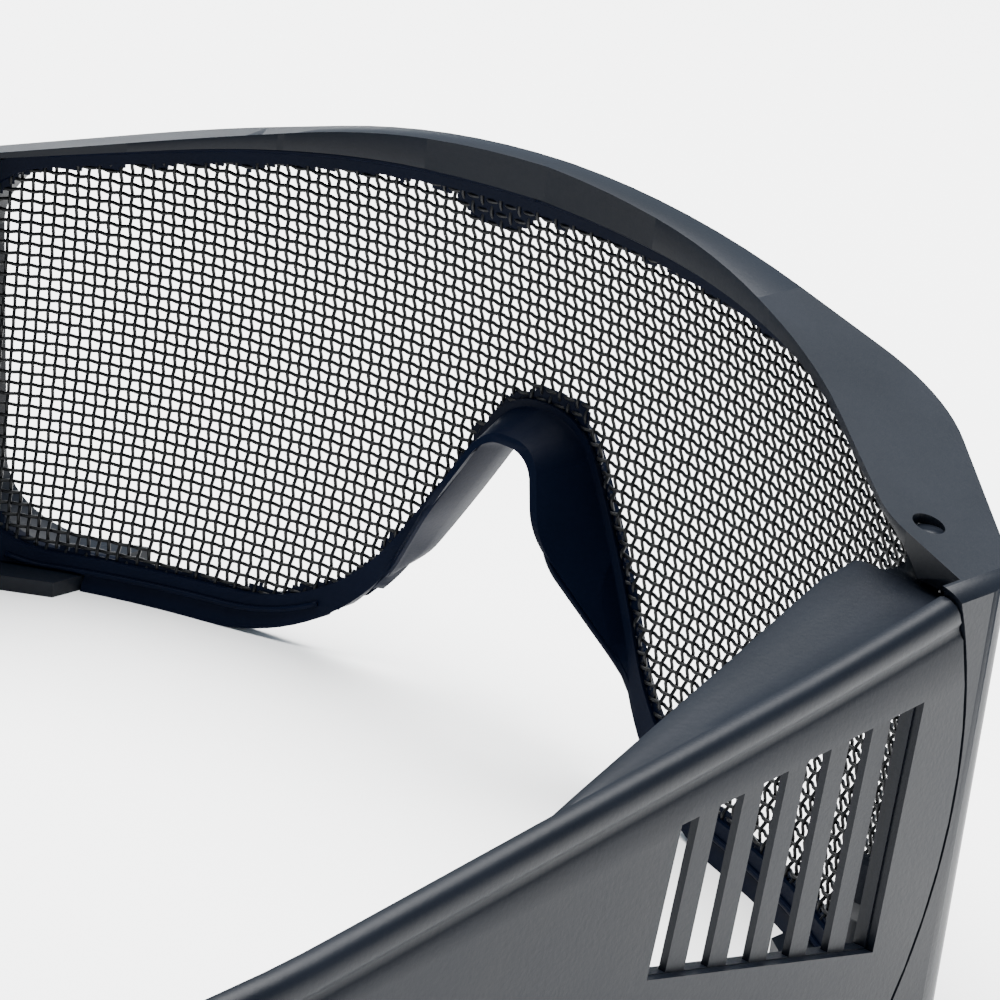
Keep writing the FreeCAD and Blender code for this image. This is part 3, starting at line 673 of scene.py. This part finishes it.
def temple_section(y, top, foot):
    """The temple's outline across its length as (x, z), from the foot up the outer face and down."""
    start, end = GUSSET_SPAN
    share = min(max((end - y) / (end - start), 0.0), 1.0)
    flush = TEMPLE_INNER - 0.2
    edge = flush - share * (flush - GUSSET_INNER)
    full = min(max((TEMPLE_INNER - edge) / GUSSET_FADE, 0.0), 1.0)
    lip = top - LIP_DROPS[0] * full - LIP_DROPS[1] * (1 - full)
    ledge = LEDGE[0] * full + flush * (1 - full)
    low, high = foot + WALL_ENDS[0], top - WALL_ENDS[1]
    round_x, rise = FOOT_ROUND
    # Foot, outer face and rolled top edge
    points = [(FOOT_CORNERS[0], foot), (round_x, foot + rise)]
    points += [(TEMPLE_OUTER, z) for z in wall_heights(low, high)]
    points += [(x, top - drop) for x, drop in ROLLED_EDGE]
    # Step down to the ledge, which sags a little towards the lip
    points += [(TEMPLE_INNER - 0.15, top - 0.6), (ledge, top - LEDGE[1])]
    for part in LEDGE_PARTS:
        points.append((ledge + part * (edge + 0.9 * full - ledge),
                       lip - 0.35 - LEDGE_SAG * part * full * (1 - part)))
    # Rounded lip, then the inner face back to the foot
    points += [(edge + out * full, lip - drop) for out, drop in LIP_ROUND]
    points += [(TEMPLE_INNER, lip - LIP_UNDER)]
    points += [(TEMPLE_INNER, z) for z in wall_heights(high, low)]
    points += [(TEMPLE_INNER + rise, foot + rise), (FOOT_CORNERS[1], foot)]
    return points


def temple_arm():
    """The left temple behind its seam: rolled top edge, gusset and slim wall, as verts and faces."""
    outline = rounded(TEMPLE_SIDE)
    stations = np.concatenate([np.arange(*stretch) for stretch in TEMPLE_STATIONS] + [[TEMPLE_END]])
    centre_y, centre_z, seam_radius = SEAM
    gusset_x, gusset_y = GUSSET_FRONT
    verts, faces = [], []
    for station in stations:
        heights = [az + (bz - az) * (station - ay) / (by - ay)
                   for (ay, az), (by, bz) in zip(outline, np.roll(outline, -1, axis=0))
                   if (ay > station) != (by > station)]
        shift = temple_inset(station)
        hold = max(1.0 - (station - stations[0]) / SEAM_FADE, 0.0)
        for x, z in temple_section(station, max(heights), min(heights)):
            front = centre_y - math.sqrt(max(seam_radius ** 2 - (z - centre_z) ** 2, 0.0))
            if x < gusset_x:
                front = gusset_y
            verts.append((x - shift, station + hold * (front - stations[0]), z))
    count = len(verts) // len(stations)
    skin(0, len(stations), count, faces)
    # Front end: the foot, a strip of quads up the wall, then everything above the wall
    low_inner, high_inner = count - 3, count - 3 - WALL_STEPS
    faces.append((low_inner + 2, low_inner + 1, low_inner, 2, 1, 0))
    for k in range(2, 2 + WALL_STEPS):
        faces.append((k, low_inner + 2 - k, low_inner + 1 - k, k + 1))
    faces.append(tuple(range(high_inner, 1 + WALL_STEPS, -1)))
    faces.append(tuple(range((len(stations) - 1) * count, len(stations) * count)))
    return verts, faces


def vent_place(along, down):
    """A point y, z of the vent window, by fractions of its length and height."""
    front_top, rear_top, rear_foot, front_foot = (np.array(corner) for corner in VENT)
    top = front_top + along * (rear_top - front_top)
    foot = front_foot + along * (rear_foot - front_foot)
    return top + down * (foot - top)


def vent_tools():
    """Solids to cut from the temple: the six slots, then the outer and the inner recess."""
    pitch = 1.0 / (VENT_SLOTS - 1 + VENT_SHARE)
    cuts = [(k * pitch, (k + VENT_SHARE) * pitch) + SLOT_CUT for k in range(VENT_SLOTS)]
    cuts += [(0.0, 1.0) + recess for recess in RECESS_CUTS]
    for start, end, near, far, grow in cuts:
        first, last, top, foot = start - grow, end + grow, -grow, 1.0 + grow
        ring = [vent_place(a, d) for a, d in ((first, top), (last, top), (last, foot), (first, foot))]
        verts = [(near, y, z) for y, z in ring] + [(far, y, z) for y, z in ring]
        sides = [(k, k + 4, (k + 1) % 4 + 4, (k + 1) % 4) for k in range(4)]
        yield verts, [(0, 1, 2, 3), (7, 6, 5, 4)] + sides


def cut_temple():
    """The left temple's mesh with its vent window cut."""
    arm = new_object("arm", outward_mesh("arm", *temple_arm()))
    tools = [new_object("tool", outward_mesh("tool", *tool)) for tool in vent_tools()]
    for tool in tools:
        cut = arm.modifiers.new("Cut", "BOOLEAN")
        cut.operation = "DIFFERENCE"
        cut.solver = "EXACT"
        cut.object = tool
    view = bpy.context.evaluated_depsgraph_get()
    mesh = bpy.data.meshes.new_from_object(arm.evaluated_get(view))
    for helper in [arm] + tools:
        bpy.data.objects.remove(helper)
    return mesh


def hinge_end(node):
    """The lugs and stubs of a temple's solid, as a mesh of their own."""
    shape = solid_shape(node)
    side = 1.0 if node.name.endswith("left") else -1.0
    last_y, last_x = HINGE_END
    for place, facing in (((0.0, last_y * MM + SCREEN_Y, 0.0), (0.0, 1.0, 0.0)),
                          ((side * last_x * MM, 0.0, 0.0), (side, 0.0, 0.0))):
        everything = shape.verts[:] + shape.edges[:] + shape.faces[:]
        bmesh.ops.bisect_plane(shape, geom=everything, plane_co=place, plane_no=facing, clear_outer=True)
        rim = [edge for edge in shape.edges if edge.is_boundary]
        bmesh.ops.holes_fill(shape, edges=rim, sides=0)
    return worked_mesh("hinge_end", shape)


def rim_bead():
    """The raised line round the rim, on the face that looks rearwards."""
    flat = even_points(sight_edge(BEAD_OUT), BEAD_STEP)
    across, height = np.abs(flat[:, 0]), flat[:, 1]
    drawn = (across < BEAD_LAST_X) & ((across > BEAD_NOTCH[0]) | (height > BEAD_NOTCH[1]))
    points, normals = on_screen(flat, BEAD_LIFT)
    verts, faces = [], []
    for first, last in runs(drawn):
        if last - first > 4:
            tube(points[first:last], normals[first:last], BEAD_RADIUS, BEAD_SIDES, verts, faces)
    return verts, faces


def saddle_lean(y):
    """How far outside the visible edge the saddle's face towards the screen lies, at a place y."""
    lean, reach, overlap, _ = SADDLE_WALL
    return lean * (y + SADDLE_LEAN_START * reach) / ((1 + SADDLE_LEAN_START) * reach) - overlap


def slim_saddle(node):
    """The rim's mesh with the saddle's rear edge thinned on its nose side."""
    shape = solid_shape(node)
    shape.verts.ensure_lookup_table()
    edge = sight_edge(0.0)
    spots = np.array([(v.co.x / MM, (v.co.y - SCREEN_Y) / MM, v.co.z / MM) for v in shape.verts])
    flat = spots[:, [0, 2]]
    first_y, last_x, last_z = SLIM_LIMITS
    behind = (spots[:, 1] > first_y) & (np.abs(flat[:, 0]) < last_x) & ~inside(flat, edge)
    gap = edge_distance(flat, edge)
    mesh_side = saddle_lean(spots[:, 1])
    nose_side = behind & (gap - mesh_side > SLIM_SHARE * SADDLE_WALL[3]) & (flat[:, 1] < last_z)
    stretches = np.roll(edge, -1, axis=0) - edge
    lengths = np.maximum((stretches ** 2).sum(axis=1), 1e-12)
    for index in np.flatnonzero(nose_side):
        share = np.clip(((flat[index] - edge) * stretches).sum(axis=1) / lengths, 0.0, 1.0)
        feet = edge + share[:, None] * stretches
        foot = feet[np.argmin(((feet - flat[index]) ** 2).sum(axis=1))]
        outwards = (flat[index] - foot) / max(gap[index], 1e-6)
        moved = foot + outwards * (mesh_side[index] + SADDLE_EDGE - SLIM_SINK)
        vert = shape.verts[int(index)]
        vert.co.x, vert.co.z = moved[0] * MM, moved[1] * MM
    return worked_mesh("slim_rim", shape)


def saddle_pad():
    """The smooth face that the saddle turns to the nose, along the whole notch."""
    edge = sight_edge(0.0)
    flat = even_points(edge, PAD_STEP)
    across, height = np.abs(flat[:, 0]), flat[:, 1]
    lowest, swollen = SADDLE_FOOT
    in_notch = (across < PAD_NOTCH[0]) & (height > lowest - 0.5) & (height < PAD_NOTCH[1])
    first, last = runs(in_notch)[0]
    path = flat[first:last]
    ahead = np.gradient(path, axis=0)
    ahead /= np.linalg.norm(ahead, axis=1, keepdims=True)
    nosewards = np.stack([ahead[:, 1], -ahead[:, 0]], -1)
    if inside(path[:1] + nosewards[:1], edge)[0]:
        nosewards = -nosewards
    surface, _ = on_screen(path, 0.0)
    rear = np.interp(path[:, 1], *zip(*SADDLE_REAR)) - 0.1
    evening = 2 * PAD_EVENING + 1
    rear = np.convolve(np.pad(rear, PAD_EVENING, mode="edge"), np.ones(evening) / evening, mode="valid")
    swell = np.clip((path[:, 1] - lowest) / (swollen - lowest), 0.0, 1.0)
    swell = swell * swell * (3 - 2 * swell)
    front = surface[:, 1] - 1.3
    near = saddle_lean(rear)
    root = np.full(len(path), 1.0)
    low, high = 1.9 + SADDLE_ROOT * swell, near + SADDLE_EDGE
    middle = (low + high) / 2 + 0.35 * swell
    # Once round the face: distance from the visible edge towards the nose, y
    ring = [(root, front + 0.2), (low - 0.7, front), (low - 0.2, front + 0.2), (low, front + 0.7),
            (middle, (front + rear) / 2), (high + 0.05, rear - 0.9), (high - 0.05, rear - 0.25),
            (high - 0.35, rear), (near + 0.2, rear - 0.1), (root, front + 1.6)]
    verts, faces = [], []
    for k in range(len(path)):
        for depth, y in ring:
            spot = path[k] + nosewards[k] * depth[k]
            verts.append((spot[0], y[k], spot[1]))
    closed_skin(0, len(path), len(ring), faces)
    return verts, faces


def lay_floor(looks):
    """A wide pale floor that the goggles stand on."""
    corners = [(x * FLOOR_HALF, y * FLOOR_HALF, 0) for x, y in ((-1, -1), (1, -1), (1, 1), (-1, 1))]
    mesh = bpy.data.meshes.new("floor")
    mesh.from_pydata(corners, [], [(0, 1, 2, 3)])
    material, shader, place = new_material("Pale paper")
    mottle = place.node("ShaderNodeTexNoise", Vector=place, Scale=FLOOR_MOTTLE, Detail=5.0)
    pale = tuple(looks.floor)
    shaded = tuple(c * FLOOR_SHADE for c in pale)
    feed(shader, "Base Color", mottle.mix(shaded + (1.0,), pale + (1.0,)))
    shader.inputs["Roughness"].default_value = FLOOR_ROUGHNESS
    mesh.materials.append(material)
    floor = new_object("floor", mesh)
    floor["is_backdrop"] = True


def light_scene(scene, looks):
    """Even light from all round, and one large soft light above."""
    world = bpy.data.worlds.new("Even light")
    world.use_nodes = True
    background = world.node_tree.nodes["Background"]
    background.inputs["Color"].default_value = SKY_COLOUR
    background.inputs["Strength"].default_value = looks.sky
    scene.world = world
    light = bpy.data.lights.new("Soft window", "AREA")
    light.shape = "RECTANGLE"
    light.size, light.size_y = WINDOW_SIZE
    light.spread = math.radians(WINDOW_SPREAD)
    light.energy = looks.window
    window = new_object("Soft window", light)
    window.location = WINDOW_PLACE
    aim = Vector(WINDOW_AIM) - window.location
    window.rotation_euler = aim.to_track_quat("-Z", "Y").to_euler()


def set_camera(scene):
    """The camera, from behind and above on the wearer's right."""
    data = bpy.data.cameras.new("Camera")
    data.sensor_width = CAMERA_SENSOR
    data.lens = CAMERA_LENS
    data.clip_end = 50.0
    ahead = Vector(CAMERA_AHEAD).normalized()
    right = Vector(CAMERA_RIGHT).normalized()
    up = right.cross(ahead).normalized()
    roll = math.radians(CAMERA_ROLL)
    tilted = right * math.cos(roll) + up * math.sin(roll)
    raised = up * math.cos(roll) - right * math.sin(roll)
    turn = Matrix((tilted, raised, -ahead)).transposed().to_4x4()
    camera = new_object("Camera", data)
    camera.matrix_world = Matrix.Translation(CAMERA_PLACE) @ turn
    scene.camera = camera


class GOGGLES_OT_plastics(bpy.types.Operator):
    """Make the moulded plastics and give the brow frame its own"""
    bl_idname = "goggles.plastics"
    bl_label = "Moulded plastics"

    def execute(self, context):
        looks = context.scene.goggles_plastic
        shell = moulded_plastic("Satin black shell", looks.shell, looks.roughness,
                                SHELL_GRAIN, SHELL_SHINE)
        # The rim's plastic is darker and bluer than the shell, as painted shade on its rearward faces
        moulded_plastic("Satin black rim with painted shade", looks.rim, looks.roughness + RIM_ROUGHER,
                        RIM_GRAIN, RIM_SHINE)
        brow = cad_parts["front_frame"]
        brow.data.materials.clear()
        brow.data.materials.append(shell)
        soften(brow)
        return {"FINISHED"}


class GOGGLES_OT_temples(bpy.types.Operator):
    """Shape the temples with their rolled edges, gussets and vent windows"""
    bl_idname = "goggles.temples"
    bl_label = "Temples"

    def execute(self, context):
        shell = bpy.data.materials["Satin black shell"]
        left = cut_temple()
        for name, mesh in (("temple_left", left), ("temple_right", mirrored(left))):
            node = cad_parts[name]
            arm = finish_piece(name + "_arm", mesh, shell, name)
            lugs = finish_piece(name + "_lugs", hinge_end(node), shell, name)
            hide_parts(name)
            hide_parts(name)
        return {"FINISHED"}


class GOGGLES_OT_saddle(bpy.types.Operator):
    """Shape the rim with the thin rear edge and the smooth face of its saddle"""
    bl_idname = "goggles.saddle"
    bl_label = "Rim and saddle"

    def execute(self, context):
        plastic = bpy.data.materials["Satin black rim with painted shade"]
        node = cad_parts["screen_rim"]
        rim = finish_piece("rim_with_saddle", slim_saddle(node), plastic, "front")
        soften(rim)
        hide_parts("screen_rim")
        pad = outward_mesh("pad", *saddle_pad())
        finish_piece("saddle_face", pad, plastic, "front")
        return {"FINISHED"}


class GOGGLES_OT_bead(bpy.types.Operator):
    """Lay the raised line round the rim"""
    bl_idname = "goggles.bead"
    bl_label = "Rim bead"

    def execute(self, context):
        plastic = bpy.data.materials["Satin black rim with painted shade"]
        verts, faces = rim_bead()
        mesh_piece("rim_bead", verts, faces, plastic, "front")
        return {"FINISHED"}


class GOGGLES_OT_weave(bpy.types.Operator):
    """Weave the wire screen, wire by wire, and let the rim's flash creep into it"""
    bl_idname = "goggles.weave"
    bl_label = "Woven screen"

    def execute(self, context):
        scene = context.scene
        verts, faces = weave(scene.goggles_weave)
        wire = coated_wire("Black coated wire", scene.goggles_plastic.wire)
        screen = mesh_piece("woven_wires", verts, faces, wire, "front")
        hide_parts("wire_screen")
        verts, faces = flash(scene.goggles_weave)
        plastic = bpy.data.materials["Satin black rim with painted shade"]
        mesh_piece("moulding_flash", verts, faces, plastic, "front", smooth=False)
        return {"FINISHED"}


class GOGGLES_OT_stage(bpy.types.Operator):
    """Lay the floor, hang the lights and set the camera"""
    bl_idname = "goggles.stage"
    bl_label = "Stage and camera"

    def execute(self, context):
        scene = context.scene
        looks = scene.goggles_stage
        lay_floor(looks)
        light_scene(scene, looks)
        set_camera(scene)
        return {"FINISHED"}


class GOGGLES_PT_panel(bpy.types.Panel):
    """Lists the steps that dress the goggles"""
    bl_idname = "GOGGLES_PT_panel"
    bl_label = "Mesh safety goggles"
    bl_space_type = "VIEW_3D"
    bl_region_type = "UI"
    bl_category = "Goggles"

    def draw(self, context):
        for operator in OPERATORS:
            self.layout.operator(operator.bl_idname)


GROUPS = (WeaveSizes, PlasticLooks, StageLooks)
OPERATORS = (GOGGLES_OT_plastics, GOGGLES_OT_temples, GOGGLES_OT_saddle,
             GOGGLES_OT_bead, GOGGLES_OT_weave, GOGGLES_OT_stage)


def register():
    for item in GROUPS + OPERATORS + (GOGGLES_PT_panel,):
        bpy.utils.register_class(item)
    bpy.types.Scene.goggles_weave = PointerProperty(type=WeaveSizes)
    bpy.types.Scene.goggles_plastic = PointerProperty(type=PlasticLooks)
    bpy.types.Scene.goggles_stage = PointerProperty(type=StageLooks)


def unregister():
    del bpy.types.Scene.goggles_weave
    del bpy.types.Scene.goggles_plastic
    del bpy.types.Scene.goggles_stage
    for item in reversed(GROUPS + OPERATORS + (GOGGLES_PT_panel,)):
        bpy.utils.unregister_class(item)


def main():
    register()
    bpy.ops.goggles.plastics()
    bpy.ops.goggles.temples()
    bpy.ops.goggles.saddle()
    bpy.ops.goggles.bead()
    bpy.ops.goggles.weave()
    bpy.ops.goggles.stage()
    boxes = {"cad": CAD_BOX, "visual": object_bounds()}
    plain = {name: [[float(v) for v in corner] for corner in box] for name, box in boxes.items()}


if __name__ == "__main__":
    main()
